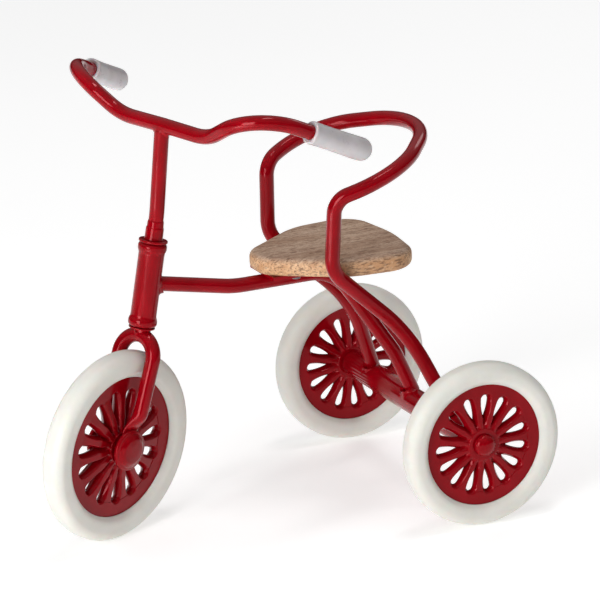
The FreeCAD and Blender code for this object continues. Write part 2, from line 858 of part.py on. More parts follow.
os.makedirs("parts", exist_ok=True)
for item in BODIES:
    item.Shape.exportStep("parts/%s.step" % item.Label)
print("box %.2f x %.2f x %.2f mm" % (whole.XLength, whole.YLength, whole.ZLength))
print("moved by (%.3f, %.3f, %.3f)" % (shift.x, shift.y, shift.z))
print("%d sub-parts" % len(BODIES))
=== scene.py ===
import json
import math

import bmesh
import bpy
from mathutils import Matrix, Vector


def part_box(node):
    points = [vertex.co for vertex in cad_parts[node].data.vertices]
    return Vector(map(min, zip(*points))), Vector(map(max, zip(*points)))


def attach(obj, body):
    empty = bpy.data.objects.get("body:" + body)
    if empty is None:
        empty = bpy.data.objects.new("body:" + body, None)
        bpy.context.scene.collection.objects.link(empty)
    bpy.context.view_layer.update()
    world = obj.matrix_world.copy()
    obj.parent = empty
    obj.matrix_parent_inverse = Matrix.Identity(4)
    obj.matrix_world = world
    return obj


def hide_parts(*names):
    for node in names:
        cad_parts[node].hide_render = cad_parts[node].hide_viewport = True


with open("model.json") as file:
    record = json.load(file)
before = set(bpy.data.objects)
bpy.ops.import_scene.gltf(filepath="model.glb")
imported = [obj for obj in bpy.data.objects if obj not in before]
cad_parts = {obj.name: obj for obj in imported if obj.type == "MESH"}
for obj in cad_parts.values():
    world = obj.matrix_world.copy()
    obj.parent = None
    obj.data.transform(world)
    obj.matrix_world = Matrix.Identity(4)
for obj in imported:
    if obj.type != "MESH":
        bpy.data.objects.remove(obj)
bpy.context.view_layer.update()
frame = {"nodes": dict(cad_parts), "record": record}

# A doll's tricycle: red enamelled wire, white tyres, grey-white grips and a wooden seat.
# Shapes are laid out in millimetres in the frame's own layout, from the ground point below
# the middle of the rear axle, and turned into metres in the shared frame as they are made.

MM = 0.001
UP = Vector((0, 0, 1))
TO_LEFT = Matrix.Rotation(math.radians(90), 4, "Y")
TO_RIGHT = Matrix.Rotation(math.radians(-90), 4, "Y")

AXLE_LOW, AXLE_HIGH = (Vector(corner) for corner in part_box("rear_axle_tube"))
REAR_RADIUS = 19.0
FRONT_RADIUS = 22.0
REAR_BOSS = 1.7     # half the width of a rear wheel's boss
FRONT_BOSS = 2.1
HALF_TRACK = 34.3
BUSH_STAND_OUT = 0.1
SIDE_CLEARANCE = 0.15
WIRE = 1.7          # radius of the bent wires
PIN = 1.0           # radius of the holes that take the axle pins
LAYOUT = Matrix.Translation((AXLE_LOW + AXLE_HIGH) / 2 / MM - UP * REAR_RADIUS)

STEERING_REACH = 76.1
STEERING_LEAN = math.radians(10.95)
STEERING_TURN = math.radians(25.3)
STRAIGHT = (LAYOUT @ Matrix.Translation((0, -STEERING_REACH, 0))
            @ Matrix.Rotation(-STEERING_LEAN, 4, "X"))
STEERED = STRAIGHT @ Matrix.Rotation(STEERING_TURN, 4, "Z")
PIN_LOW, PIN_HIGH = (Vector(corner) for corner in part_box("front_axle_pin"))
HUB = STEERED.inverted() @ ((PIN_LOW + PIN_HIGH) / 2 / MM)


def at(x, y, z):
    return Matrix.Translation((x, y, z))


# --- materials -----------------------------------------------------------------------------

class Nodes:
    """A material's node tree, with the few moves that these finishes need."""

    def __init__(self, name):
        self.material = bpy.data.materials.new(name)
        self.material.use_nodes = True
        self.tree = self.material.node_tree
        self.shader = self.tree.nodes["Principled BSDF"]
        self.coords = self.tree.nodes.new("ShaderNodeTexCoord").outputs["Object"]

    def node(self, kind, **settings):
        made = self.tree.nodes.new(kind)
        for key, value in settings.items():
            setattr(made, key, value)
        return made

    def link(self, source, target):
        self.tree.links.new(source, target)

    def stretched(self, scale):
        mapping = self.node("ShaderNodeMapping")
        mapping.inputs["Scale"].default_value = scale
        self.link(self.coords, mapping.inputs["Vector"])
        return mapping.outputs["Vector"]

    def noise(self, scale, detail=2.0, rough=0.5, vector=None, distortion=0.0):
        made = self.node("ShaderNodeTexNoise")
        made.inputs["Scale"].default_value = scale
        made.inputs["Detail"].default_value = detail
        made.inputs["Roughness"].default_value = rough
        made.inputs["Distortion"].default_value = distortion
        self.link(vector or self.coords, made.inputs["Vector"])
        return made.outputs["Fac"]

    def spread(self, value, low, high, new_low=0.0, new_high=1.0):
        made = self.node("ShaderNodeMapRange")
        for key, number in (("From Min", low), ("From Max", high), ("To Min", new_low),
                            ("To Max", new_high)):
            made.inputs[key].default_value = number
        self.link(value, made.inputs["Value"])
        return made.outputs["Result"]

    def blend(self, share, first, second):
        made = self.node("ShaderNodeMix", data_type="RGBA")
        self.link(share, made.inputs["Factor"])
        for socket, value in ((made.inputs[6], first), (made.inputs[7], second)):
            if isinstance(value, tuple):
                socket.default_value = (*value, 1.0)
            else:
                self.link(value, socket)
        return made.outputs[2]

    def bump(self, height, strength, distance, onto=None):
        made = self.node("ShaderNodeBump")
        made.inputs["Strength"].default_value = strength
        made.inputs["Distance"].default_value = distance
        self.link(height, made.inputs["Height"])
        if onto is not None:
            self.link(onto, made.inputs["Normal"])
        return made.outputs["Normal"]

    def finish(self, colour, roughness, normal, **sockets):
        self.link(colour, self.shader.inputs["Base Color"])
        self.link(roughness, self.shader.inputs["Roughness"])
        self.link(normal, self.shader.inputs["Normal"])
        for key, value in sockets.items():
            self.shader.inputs[key.replace("_", " ")].default_value = value
        return self.material


def red_enamel():
    """Thick glossy enamel: slight orange peel, slow waves where it ran, darker where thin."""
    nodes = Nodes("red_enamel")
    cloud = nodes.noise(140.0, 3.0)
    colour = nodes.blend(nodes.spread(cloud, 0.3, 0.7), (0.200, 0.0004, 0.003),
                         (0.262, 0.0006, 0.005))
    roughness = nodes.spread(nodes.noise(900.0, 2.0), 0.3, 0.7, 0.10, 0.16)
    peel = nodes.bump(nodes.noise(1500.0, 1.0), 0.06, 0.00004)
    runs = nodes.bump(nodes.noise(210.0, 1.0), 0.10, 0.0002, peel)
    return nodes.finish(colour, roughness, runs, Coat_Weight=0.19, Coat_Roughness=0.06,
                        Specular_IOR_Level=0.3, Specular_Tint=(1.0, 0.08, 0.10, 1.0))


def white_tyre_rubber():
    """Milky moulded rubber with a satin skin and faint dust."""
    nodes = Nodes("white_tyre_rubber")
    cloud = nodes.noise(170.0, 4.0, 0.6)
    colour = nodes.blend(nodes.spread(cloud, 0.3, 0.72), (0.69, 0.680, 0.63),
                         (0.75, 0.742, 0.69))
    roughness = nodes.spread(nodes.noise(1100.0, 3.0), 0.3, 0.7, 0.40, 0.56)
    grain = nodes.bump(nodes.noise(2600.0, 2.0), 0.12, 0.00006)
    waves = nodes.bump(nodes.noise(320.0, 1.0), 0.12, 0.0002, grain)
    return nodes.finish(colour, roughness, waves, Subsurface_Weight=0.25, Subsurface_Scale=0.0015,
                        Specular_IOR_Level=0.35)


def grip_vinyl():
    """Soft translucent vinyl, greyer where the wire inside shows through."""
    nodes = Nodes("grip_vinyl")
    cloud = nodes.noise(210.0, 3.0)
    colour = nodes.blend(nodes.spread(cloud, 0.3, 0.7), (0.46, 0.430, 0.442),
                         (0.56, 0.530, 0.542))
    roughness = nodes.spread(nodes.noise(900.0, 2.0), 0.3, 0.7, 0.26, 0.40)
    waves = nodes.bump(nodes.noise(420.0, 2.0), 0.16, 0.0002)
    return nodes.finish(colour, roughness, waves, Subsurface_Weight=0.3, Subsurface_Scale=0.001,
                        Coat_Weight=0.25, Coat_Roughness=0.2)


def bare_beech():
    """Bare beech: grain along Y, short dark pores on top and end grain dots at the edges."""
    nodes = Nodes("bare_beech")
    normal = nodes.node("ShaderNodeNewGeometry").outputs["Normal"]
    split = nodes.node("ShaderNodeSeparateXYZ")
    nodes.link(normal, split.inputs["Vector"])
    upward = nodes.spread(split.outputs["Z"], 0.25, 0.9)

    bands = nodes.noise(1.0, 3.0, 0.55, nodes.stretched((330.0, 24.0, 330.0)), 0.6)
    broad = nodes.noise(1.0, 2.0, 0.5, nodes.stretched((90.0, 40.0, 90.0)), 0.3)
    streaks = nodes.noise(1.0, 2.0, 0.6, nodes.stretched((2600.0, 520.0, 2600.0)))
    dots = nodes.noise(1.0, 2.0, 0.6, nodes.stretched((2300.0, 2300.0, 1500.0)))
    flecks = nodes.noise(1.0, 1.0, 0.5, nodes.stretched((1500.0, 800.0, 1500.0)))

    top = nodes.blend(nodes.spread(bands, 0.35, 0.65), (0.345, 0.215, 0.145),
                      (0.575, 0.425, 0.320))
    side = nodes.blend(nodes.spread(bands, 0.35, 0.65), (0.500, 0.255, 0.115),
                       (0.740, 0.480, 0.280))
    wood = nodes.blend(upward, side, top)
    wood = nodes.blend(nodes.spread(broad, 0.35, 0.7, 0.0, 0.35), wood, (0.50, 0.34, 0.22))
    wood = nodes.blend(nodes.spread(streaks, 0.51, 0.63, 0.0, 0.80), wood,
                       (0.16, 0.082, 0.048))
    wood = nodes.blend(nodes.spread(dots, 0.52, 0.64, 0.0, 0.5), wood, (0.30, 0.150, 0.075))
    wood = nodes.blend(nodes.spread(flecks, 0.60, 0.75, 0.0, 0.30), wood, (0.74, 0.58, 0.42))
    roughness = nodes.spread(bands, 0.3, 0.7, 0.52, 0.68)
    fibres = nodes.bump(streaks, 0.35, 0.00012)
    growth = nodes.bump(bands, 0.25, 0.00015, fibres)
    return nodes.finish(wood, roughness, growth, Specular_IOR_Level=0.3)


def turned_steel():
    nodes = Nodes("turned_steel")
    fine = nodes.noise(1.0, 2.0, 0.5, nodes.stretched((300.0, 4000.0, 4000.0)))
    colour = nodes.blend(nodes.spread(fine, 0.3, 0.7), (0.13, 0.13, 0.135), (0.22, 0.22, 0.225))
    roughness = nodes.spread(fine, 0.3, 0.7, 0.28, 0.45)
    return nodes.finish(colour, roughness, nodes.bump(fine, 0.15, 0.00005), Metallic=1.0)


def moulded_bush():
    nodes = Nodes("moulded_bush")
    cloud = nodes.noise(600.0, 2.0)
    colour = nodes.blend(nodes.spread(cloud, 0.3, 0.7), (0.012, 0.012, 0.013),
                         (0.03, 0.03, 0.032))
    roughness = nodes.spread(cloud, 0.3, 0.7, 0.45, 0.6)
    return nodes.finish(colour, roughness, nodes.bump(cloud, 0.1, 0.00008))


def pale_floor():
    nodes = Nodes("pale_floor")
    cloud = nodes.noise(6.0, 2.0)
    colour = nodes.blend(cloud, (0.90, 0.90, 0.90), (0.92, 0.92, 0.92))
    roughness = nodes.spread(cloud, 0.3, 0.7, 0.8, 0.9)
    return nodes.finish(colour, roughness, nodes.bump(cloud, 0.02, 0.0005),
                        Specular_IOR_Level=0.1, Emission_Color=(1.0, 1.0, 1.0, 1.0),
                        Emission_Strength=0.36)


RED = red_enamel()
TYRE = white_tyre_rubber()
GRIP = grip_vinyl()
BEECH = bare_beech()
STEEL = turned_steel()
BUSH = moulded_bush()


# --- mesh making -----------------------------------------------------------------------------

def mesh_of(points, faces, edges=()):
    mesh = bpy.data.meshes.new("shape")
    mesh.from_pydata([tuple(p) for p in points], list(edges), faces)
    return mesh


def tidy_mesh(mesh, merge=0.0005):
    """Join doubled points, point the faces outwards and shade smooth."""
    work = bmesh.new()
    work.from_mesh(mesh)
    bmesh.ops.remove_doubles(work, verts=work.verts, dist=merge)
    bmesh.ops.dissolve_degenerate(work, edges=work.edges, dist=merge / 10)
    bmesh.ops.recalc_face_normals(work, faces=work.faces)
    work.to_mesh(mesh)
    work.free()
    for face in mesh.polygons:
        face.use_smooth = True
    return mesh


def piece(name, meshes, material, body, nodes):
    """Join shapes, each (mesh, place in mm), into one piece that stands for CAD nodes."""
    work = bmesh.new()
    for mesh, place in meshes:
        moved = mesh.copy()
        moved.transform(Matrix.Scale(MM, 4) @ place)
        if place.determinant() < 0:
            moved.flip_normals()
        work.from_mesh(moved)
        bpy.data.meshes.remove(moved)
    joined = bpy.data.meshes.new(name)
    work.to_mesh(joined)
    work.free()
    joined.materials.clear()
    joined.materials.append(material)
    for face in joined.polygons:
        face.use_smooth = True
        face.material_index = 0
    made = bpy.data.objects.new(name, joined)
    bpy.context.scene.collection.objects.link(made)
    made.data.set_sharp_from_angle(angle=math.radians(38))
    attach(made, body)
    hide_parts(*nodes)
    return made


def rounded(profile, radius, steps=5):
    """Round the inner corners of an open profile of (r, z) points."""
    soft = [profile[0]]
    for before, corner, after in zip(profile, profile[1:], profile[2:]):
        c = Vector(corner)
        back = Vector(before) - c
        ahead = Vector(after) - c
        reach = min(radius, back.length * 0.48, ahead.length * 0.48)
        start = c + back.normalized() * reach
        end = c + ahead.normalized() * reach
        for i in range(steps + 1):
            t = i / steps
            soft.append(tuple(start.lerp(c, t).lerp(c.lerp(end, t), t)))
    return soft + [profile[-1]]


def lathe(profile, segments=128, closed=False):
    """Turn a profile of (r, z) points about Z; closed joins its last point to its first."""
    points = []
    rings = []
    for r, z in profile:
        if r < 1e-6:
            rings.append([len(points)] * segments)
            points.append((0, 0, z))
            continue
        rings.append(list(range(len(points), len(points) + segments)))
        for i in range(segments):
            angle = 2 * math.pi * i / segments
            points.append((r * math.cos(angle), r * math.sin(angle), z))
    faces = []
    pairs = list(zip(rings, rings[1:])) + ([(rings[-1], rings[0])] if closed else [])
    for low, high in pairs:
        for i in range(segments):
            j = (i + 1) % segments
            corners = []
            for index in (low[i], low[j], high[j], high[i]):
                if index not in corners:
                    corners.append(index)
            if len(corners) > 2:
                faces.append(corners)
    return tidy_mesh(mesh_of(points, faces))


def closed_ring(profile, radius, segments=128):
    """A ring turned from a closed profile with every corner rounded."""
    wrapped = [profile[-1]] + profile + [profile[0]]
    return lathe(rounded(wrapped, radius)[1:-1], segments, closed=True)


def bend_path(points, bends, turn_step=math.radians(3.0), run_step=1.6):
    """Points along straight runs joined by tangent arcs."""
    path = [Vector(points[0])]

    def run_to(target):
        start = path[-1]
        count = max(1, round((target - start).length / run_step))
        for i in range(1, count + 1):
            path.append(start.lerp(target, i / count))

    for before, corner, after, bend in zip(points, points[1:], points[2:], bends):
        back = (before - corner).normalized()
        ahead = (after - corner).normalized()
        half = back.angle(ahead) / 2
        reach = bend / math.tan(half)
        centre = corner + (back + ahead).normalized() * (bend / math.sin(half))
        entry = corner + back * reach
        if (entry - path[-1]).length > 0.01:
            run_to(entry)
        sweep = math.pi - 2 * half
        count = max(2, math.ceil(sweep / turn_step))
        arm = entry - centre
        axis = arm.cross(-back).normalized()
        for i in range(1, count + 1):
            path.append(centre + Matrix.Rotation(sweep * i / count, 3, axis) @ arm)
    run_to(Vector(points[-1]))
    return path


def node_group(name, inputs):
    """An empty Geometry Nodes tree with named inputs: (name, socket kind, value)."""
    tree = bpy.data.node_groups.new(name, "GeometryNodeTree")
    tree.interface.new_socket("Geometry", in_out="INPUT", socket_type="NodeSocketGeometry")
    for label, kind, value in inputs:
        socket = tree.interface.new_socket(label, in_out="INPUT", socket_type=kind)
        if value is not None:
            socket.default_value = value
    tree.interface.new_socket("Geometry", in_out="OUTPUT", socket_type="NodeSocketGeometry")
    return tree


def wire_tree():
    """Sweeps a round wire along a line of points."""
    tree = node_group("wire_along_path", [("Wire Radius", "NodeSocketFloat", 1.7),
                                          ("Sides", "NodeSocketInt", 40),
                                          ("Material", "NodeSocketMaterial", None)])
    add = tree.nodes.new
    given = add("NodeGroupInput")
    result = add("NodeGroupOutput")
    line = add("GeometryNodeMeshToCurve")
    circle = add("GeometryNodeCurvePrimitiveCircle")
    sweep = add("GeometryNodeCurveToMesh")
    sweep.inputs["Fill Caps"].default_value = True
    real = add("GeometryNodeRealizeInstances")
    paint = add("GeometryNodeSetMaterial")
    for source, target in (
            (given.outputs["Geometry"], line.inputs["Mesh"]),
            (line.outputs["Curve"], sweep.inputs["Curve"]),
            (given.outputs["Wire Radius"], circle.inputs["Radius"]),
            (given.outputs["Sides"], circle.inputs["Resolution"]),
            (circle.outputs["Curve"], sweep.inputs["Profile Curve"]),
            (sweep.outputs["Mesh"], real.inputs["Geometry"]),
            (real.outputs["Geometry"], paint.inputs["Geometry"]),
            (given.outputs["Material"], paint.inputs["Material"]),
            (paint.outputs["Geometry"], result.inputs["Geometry"])):
        tree.links.new(source, target)
    return tree


def petal_tree():
    """Copies one petal of a wheel round the Z axis and welds the copies together."""
    tree = node_group("petals_round_hub", [("Petals", "NodeSocketInt", 15),
                                           ("Join Distance", "NodeSocketFloat", 0.002),
                                           ("Material", "NodeSocketMaterial", None)])
    add = tree.nodes.new
    given = add("NodeGroupInput")
    result = add("NodeGroupOutput")
    spots = add("GeometryNodePoints")
    place = add("GeometryNodeInstanceOnPoints")
    index = add("GeometryNodeInputIndex")
    pitch = add("ShaderNodeMath")
    pitch.operation = "DIVIDE"
    pitch.inputs[0].default_value = 2 * math.pi
    angle = add("ShaderNodeMath")
    angle.operation = "MULTIPLY"
    turn = add("ShaderNodeCombineXYZ")
    real = add("GeometryNodeRealizeInstances")
    merge = add("GeometryNodeMergeByDistance")
    paint = add("GeometryNodeSetMaterial")
    for source, target in (
            (given.outputs["Petals"], spots.inputs["Count"]),
            (given.outputs["Petals"], pitch.inputs[1]),
            (pitch.outputs[0], angle.inputs[0]),
            (index.outputs[0], angle.inputs[1]),
            (angle.outputs[0], turn.inputs["Z"]),
            (spots.outputs[0], place.inputs["Points"]),
            (given.outputs["Geometry"], place.inputs["Instance"]),
            (turn.outputs[0], place.inputs["Rotation"]),
            (place.outputs["Instances"], real.inputs["Geometry"]),
            (real.outputs["Geometry"], merge.inputs["Geometry"]),
            (given.outputs["Join Distance"], merge.inputs["Distance"]),
            (merge.outputs["Geometry"], paint.inputs["Geometry"]),
            (given.outputs["Material"], paint.inputs["Material"]),
            (paint.outputs["Geometry"], result.inputs["Geometry"])):
        tree.links.new(source, target)
    return tree


def grown(mesh, tree, **values):
    """The plain mesh that a Geometry Nodes tree makes of a mesh."""
    seed = bpy.data.objects.new("seed", mesh)
    bpy.context.scene.collection.objects.link(seed)
    modifier = seed.modifiers.new("grow", "NODES")
    modifier.node_group = tree
    for item in tree.interface.items_tree:
        if item.in_out == "INPUT" and item.name in values:
            modifier[item.identifier] = values[item.name]
    graph = bpy.context.evaluated_depsgraph_get()
    made = bpy.data.meshes.new_from_object(seed.evaluated_get(graph))
    seed.modifiers.remove(modifier)
    bpy.data.objects.remove(seed)
    return made


WIRE_TREE = wire_tree()
PETAL_TREE = petal_tree()


def swept(path):
    """Wire along a row of points."""
    line = mesh_of(path, [], [(i, i + 1) for i in range(len(path) - 1)])
    return tidy_mesh(grown(line, WIRE_TREE, **{"Wire Radius": WIRE, "Material": RED}))


def wire(points, bends):
    """Wire through corner points, with a bend radius for each corner."""
    return swept(bend_path([Vector(p) for p in points], bends))


def mirrored(points):
    """Corner points of one side, followed by those of the other side."""
    return points + [(-x, y, z) for x, y, z in reversed(points)]


def both_sides(half):
    """A path that ends on the middle plane, carried on to the other side."""
    return half + [Vector((-p.x, p.y, p.z)) for p in reversed(half[:-1])]


def weld(joining, onto, size):
    """Fillet of weld and paint where a rod along Z stands on a bar along X, at the origin."""
    around = 56
    steps = 9
    points = []
    for k in range(steps):
        t = k / (steps - 1)
        out = size * (1 - math.cos(t * math.pi / 2))
        rise = size * (1 - math.sin(t * math.pi / 2))
        for i in range(around):
            angle = 2 * math.pi * i / around
            ripple = 1 + 0.10 * math.sin(5 * angle + 1.3) + 0.06 * math.sin(9 * angle)
            along = (joining + 0.02 + out * ripple) * math.cos(angle)
            room = max(0.0, onto * 0.97 - joining)
            across = (joining + 0.02 + min(out * ripple, room)) * math.sin(angle)
            surface = math.sqrt(max(onto ** 2 - across ** 2, 0.0))
            points.append((along, across, surface + rise * ripple - 0.05 * t))
    faces = []
    for k in range(steps - 1):
        for i in range(around):
            j = (i + 1) % around
            a = k * around
            b = a + around
            faces.append((a + i, a + j, b + j, b + i))
    low = [(x * 0.6, y * 0.6, z - 0.8) for x, y, z in points[-around:]]
    top = [(x * 0.6, y * 0.6, z - 0.5) for x, y, z in points[:around]]
    base = len(points)
    points += low + top
    for i in range(around):
        j = (i + 1) % around
        last = (steps - 1) * around
        faces.append((last + i, last + j, base + j, base + i))
        faces.append((base + i, base + j, base + around + j, base + around + i))
        faces.append((base + around + i, base + around + j, j, i))
    return tidy_mesh(mesh_of(points, faces))


def aimed(origin, way, bar):
    """Place whose Z points along way and whose X lies along bar."""
    z = Vector(way).normalized()
    y = z.cross(Vector(bar)).normalized()
    x = y.cross(z)
    turn = Matrix((x, y, z)).transposed().to_4x4()
    return Matrix.Translation(origin) @ turn


# --- frame wires and welds ---------------------------------------------------------------------

STAY_FOOT = (21.1, 0.0, 21.2)
STAY_KNEE = (14.9, -7.9, 40.9)
LOOP_HALF = [STAY_FOOT, STAY_KNEE, (17.3, -27.5, 59.1), (18.4, -26.7, 76.0),
             (24.7, -13.2, 81.4), (7.2, 1.5, 85.5)]
LOOP_BENDS = [30.0, 7.5, 5.0, 16.5, 19.0]
AXLE_TUBE = 3.1
HEAD_RADIUS = 2.95
HEAD_START = 49.3
HEAD_LENGTH = 19.2
HEAD_BORE = 1.75
MAIN_FRONT_HEIGHT = 57.6
MAIN_RUN_START = (0, -44.1, 53.9)
MAIN_RUN_END = (0, -19.1, 53.9)
MAIN_KNEE = (0, -4.4, 31.6)
MAIN_BENDS = [26.0, 11.7, 16.0]
BUTT = 0.6          # how far a wire runs into the tube that it is welded to


def build_back_loop():
    shapes = [(wire(mirrored(LOOP_HALF), LOOP_BENDS + LOOP_BENDS[::-1]), LAYOUT)]
    for sign in (1, -1):
        foot = Vector((sign * STAY_FOOT[0], 0, REAR_RADIUS))
        knee = Vector((sign * STAY_KNEE[0], STAY_KNEE[1], STAY_KNEE[2]))
        way = knee - Vector((sign * STAY_FOOT[0], STAY_FOOT[1], STAY_FOOT[2]))
        shapes.append((weld(WIRE, AXLE_TUBE, 1.0), LAYOUT @ aimed(foot, way, (1, 0, 0))))
    piece("back_loop_wire", shapes, RED, "frame", ["back_loop"])


def build_main_tube():
    head_reach = (HEAD_RADIUS - BUTT) / math.cos(STEERING_LEAN)
    front_y = MAIN_FRONT_HEIGHT * math.tan(STEERING_LEAN) - STEERING_REACH + head_reach
    front = (0, front_y, MAIN_FRONT_HEIGHT)
    foot = (0, 0, REAR_RADIUS + AXLE_TUBE - BUTT)
    points = [front, MAIN_RUN_START, MAIN_RUN_END, MAIN_KNEE, foot]
    shapes = [(wire(points, MAIN_BENDS), LAYOUT)]
    way = Vector(MAIN_KNEE) - Vector(foot)
    shapes.append((weld(WIRE, AXLE_TUBE, 1.0),
                   LAYOUT @ aimed((0, 0, REAR_RADIUS), way, (1, 0, 0))))
    head_axis = Vector((0, math.sin(STEERING_LEAN), math.cos(STEERING_LEAN)))
    ahead = Vector(MAIN_RUN_START) - Vector(front)
    start = Vector(front) - Vector((0, head_reach, 0))
    shapes.append((weld(WIRE, HEAD_RADIUS, 0.9), LAYOUT @ aimed(start, ahead, head_axis)))
    piece("main_tube_wire", shapes, RED, "frame", ["main_tube"])


def build_rear_axle():
    half = (AXLE_HIGH.x - AXLE_LOW.x) / 2 / MM
    tube = closed_ring([(PIN, -half), (AXLE_TUBE, -half), (AXLE_TUBE, half), (PIN, half)], 0.3)
    centre = LAYOUT @ at(0, 0, REAR_RADIUS)
    piece("rear_axle_tube_red", [(tube, centre @ TO_LEFT)], RED, "frame",
          ["rear_axle_tube"])
    for side, turn in (("left", TO_LEFT), ("right", TO_RIGHT)):
        washer = closed_ring([(PIN, 0), (2.9, 0), (2.9, 0.5), (PIN, 0.5)], 0.15)
        piece("rear_washer_%s_red" % side, [(washer, centre @ turn @ at(0, 0, half))], RED,
              "frame", ["rear_washer_" + side])


def build_head_tube():
    top = HEAD_LENGTH
    r = HEAD_RADIUS
    bead = r + 0.35
    outside = [(HEAD_BORE, 0), (r - 0.1, 0), (bead, 0.5), (bead, 1.5), (r, 2.3),
               (r, top - 2.3), (bead, top - 1.5), (bead, top - 0.5), (r - 0.1, top),
               (HEAD_BORE, top)]
    tube = closed_ring(outside, 0.55)
    piece("head_tube_beaded", [(tube, STRAIGHT @ at(0, 0, HEAD_START))], RED, "frame",
          ["head_tube"])


# --- steering ------------------------------------------------------------------------------------

STEM_TOP = 95.4
STEM_FORWARD = 2.1
STEM_BEND_HEIGHT = 75.0
STEM_BEND = 30.0
BAR_DIP = (12.9, -1.45, 95.1)
BAR_HAND = (28.8, -6.5, 104.6)
BAR_END = (36.4, 22.7, 96.8)
BAR_BENDS = [10.4, 10.9]
GRIP_RADIUS = 2.64
GRIP_LENGTH = 15.0
FORK_TOP = 47.1
FORK_GAP = 5.0
FORK_BENDS = [3.0, 3.4, FORK_GAP - 0.01]
FORK_KNEE_RISE = 8.2    # how far up the fork from the hub,
FORK_FOOT_RISE = 4.6
FORK_LOW_RISE = 1.2
FORK_FOOT_OUT = 3.25    # and how far out from the wheel's middle
FORK_LOW_OUT = 3.15
PRESS_RISE = 9.0        # where the wire starts to flatten
PRESS_RUN = 5.0         # how much lower it is flat
FOOT_THICK = 0.62   # half the thickness and half the width of a flattened fork foot
FOOT_WIDE = 2.45
EYE_RADIUS = 3.15
EYE_INNER = 2.6
EYE_THICK = 1.1
CAP_RADIUS = 4.72
CAP_BORE = 0.9      # depth to which each cap takes the pin
DOME_RADIUS = 2.58
WASHER_GAP = 0.12
WASHER_THICK = 0.6
LOWER_WASHER_THICK = 0.35


def build_stem():
    points = [(0, 0, FORK_TOP + 1.2), (0, 0, STEM_BEND_HEIGHT),
              (0, -STEM_FORWARD, STEM_TOP - 1.2)]
    shapes = [(wire(points, [STEM_BEND]), STEERED)]
    lean = Vector(points[1]) - Vector((0, -STEM_FORWARD, STEM_TOP))
    joint = aimed((0, -STEM_FORWARD, STEM_TOP), lean, (1, 0, 0))
    shapes.append((weld(WIRE, WIRE, 1.1), STEERED @ joint))
    shapes.append((weld(WIRE, WIRE, 0.8), STEERED @ aimed((0, 0, FORK_TOP), UP, (1, 0, 0))))
    piece("stem_rod", shapes, RED, "steering", ["stem"])

    foot = HEAD_START + HEAD_LENGTH + WASHER_GAP
    collar = closed_ring([(WIRE, 0), (2.2, 0), (2.08, 0.4), (2.05, 2.6), (1.9, 2.9),
                          (1.85, 4.1), (WIRE, 4.4)], 0.22)
    piece("stem_collar_crimped", [(collar, STEERED @ at(0, 0, foot + WASHER_THICK))], RED,
          "steering", ["stem_collar"])
    upper = closed_ring([(WIRE, 0), (3.3, 0), (3.3, WASHER_THICK), (WIRE, WASHER_THICK)], 0.24)
    piece("head_washer_upper_red", [(upper, STEERED @ at(0, 0, foot))], RED, "steering",
          ["head_washer_upper"])
    lower = closed_ring([(WIRE, 0), (3.0, 0), (3.0, LOWER_WASHER_THICK),
                         (WIRE, LOWER_WASHER_THICK)], 0.14)
    low = HEAD_START - WASHER_GAP - LOWER_WASHER_THICK
    piece("head_washer_lower_red", [(lower, STEERED @ at(0, 0, low))], RED, "steering",
          ["head_washer_lower"])


def build_handlebar():
    half = [BAR_END, BAR_HAND, BAR_DIP, (0, -STEM_FORWARD, STEM_TOP)]
    path = both_sides(bend_path([Vector(p) for p in half], BAR_BENDS))
    piece("handlebar_wire", [(swept(path), STEERED)], RED, "steering",
          ["handlebar"])


def build_grips():
    """Sleeves with a thin rolled lip, a slight waist and a round end."""
    bore = WIRE + 0.02
    inside = [(0.0, GRIP_LENGTH + 0.05), (bore, GRIP_LENGTH + 0.05)]
    outer = [(bore, 0.25), (2.35, 0.0), (GRIP_RADIUS, 0.35), (GRIP_RADIUS - 0.06, 1.6),
             (GRIP_RADIUS - 0.12, 6.0), (GRIP_RADIUS, GRIP_LENGTH - 1.5)]
    dome = []
    for i in range(17):
        angle = math.radians(90 * i / 16)
        dome.append((GRIP_RADIUS * math.cos(angle),
                     GRIP_LENGTH + GRIP_RADIUS * math.sin(angle)))
    skin = rounded(outer + dome[:1], 0.5, 6)[:-1] + dome
    sleeve = lathe(inside + skin, 96)
    for side, sign in (("left", 1), ("right", -1)):
        end = Vector((sign * BAR_END[0], BAR_END[1], BAR_END[2]))
        hand = Vector((sign * BAR_HAND[0], BAR_HAND[1], BAR_HAND[2]))
        way = (end - hand).normalized()
        place = STEERED @ aimed(end - way * GRIP_LENGTH, way, (1, 0, 0))
        piece("grip_%s_vinyl" % side, [(sleeve, place)], GRIP, "steering",
              ["grip_" + side])


